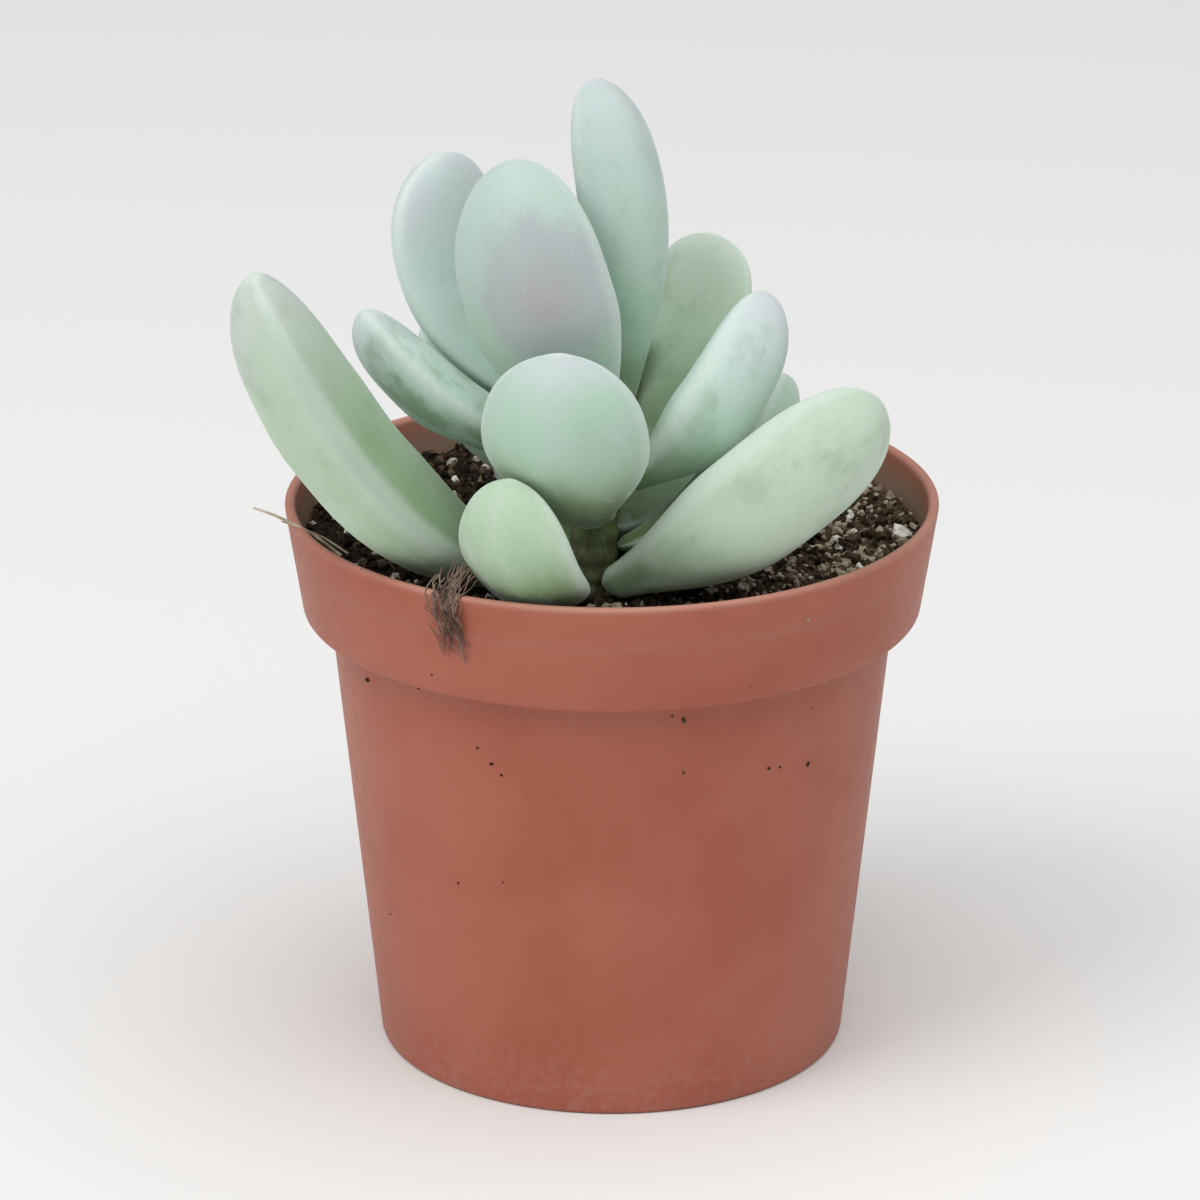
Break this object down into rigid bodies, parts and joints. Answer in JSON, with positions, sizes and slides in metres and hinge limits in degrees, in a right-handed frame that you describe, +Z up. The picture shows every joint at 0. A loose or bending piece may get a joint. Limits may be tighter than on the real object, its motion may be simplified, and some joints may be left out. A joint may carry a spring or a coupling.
{
  "type": "potted succulent",
  "caption": "Young pachyphytum with thick powdery pale green leaves on a short stem, growing in potting mix in a small round terracotta-coloured plastic nursery pot with a collar.",
  "frame": {"origin": "middle of the pot's flat underside", "axes": "+Z up along the pot's axis, -Y towards the plant's front"},
  "size_m": [0.0579, 0.0549, 0.086],
  "materials": {
    "pot_plastic": "moulded terracotta-coloured plastic, satin",
    "potting_mix": "dark peat with pale perlite grains",
    "stem": "fleshy green skin, matt",
    "leaf": "fleshy pale green skin with a powdery bloom"
  },
  "bodies": {
    "root": {"pot": "pot_plastic", "soil": "potting_mix", "stem": "stem", "leaf_01": "leaf", "leaf_02": "leaf", "leaf_03": "leaf", "leaf_04": "leaf", "leaf_05": "leaf", "leaf_06": "leaf", "leaf_07": "leaf", "leaf_08": "leaf", "leaf_09": "leaf", "leaf_10": "leaf", "leaf_11": "leaf", "leaf_12": "leaf", "leaf_13": "leaf", "leaf_14": "leaf", "leaf_15": "leaf", "crown": "leaf"}
  },
  "joints": []
}
